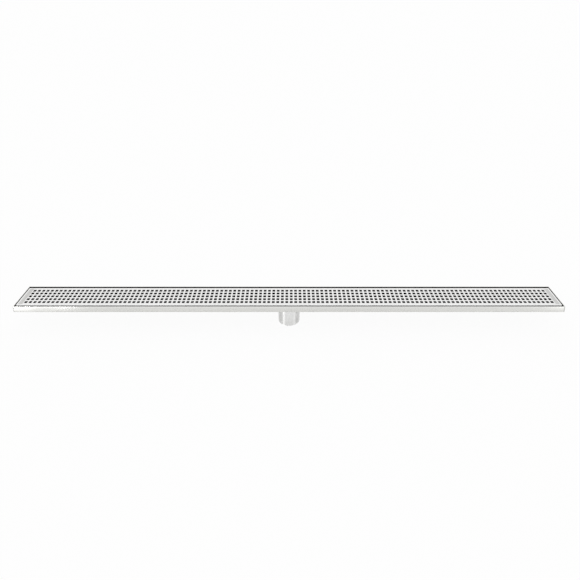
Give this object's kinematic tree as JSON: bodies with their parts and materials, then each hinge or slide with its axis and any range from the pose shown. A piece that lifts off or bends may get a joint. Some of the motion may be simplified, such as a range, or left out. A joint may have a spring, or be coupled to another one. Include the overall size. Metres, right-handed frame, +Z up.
{
  "type": "linear shower drain",
  "caption": "Long shallow shower drain: folded sheet trough, loose cover with rows of square holes, hair strainer and a round outlet stub welded under the middle.",
  "frame": {"origin": "centre of the outlet tube's lower end, on the surface that the drain stands on", "axes": "+X along the trough, +Z up out of its open top, -Z the way the waste pipe pulls off the outlet"},
  "size_m": [1.212, 0.072, 0.06],
  "materials": {
    "trough_steel": "brushed",
    "outlet_steel": "brushed",
    "cover_steel": "brushed",
    "rib_steel": "brushed",
    "strainer_steel": "brushed"
  },
  "bodies": {
    "root": {"trough": "trough_steel", "end_plate_left": "trough_steel", "end_plate_right": "trough_steel", "outlet_tube": "outlet_steel", "cover": "cover_steel", "hair_strainer": "strainer_steel", "cover_rib_1": "rib_steel", "cover_rib_2": "rib_steel", "cover_rib_3": "rib_steel", "cover_rib_4": "rib_steel", "cover_rib_5": "rib_steel", "cover_rib_6": "rib_steel"}
  },
  "joints": []
}
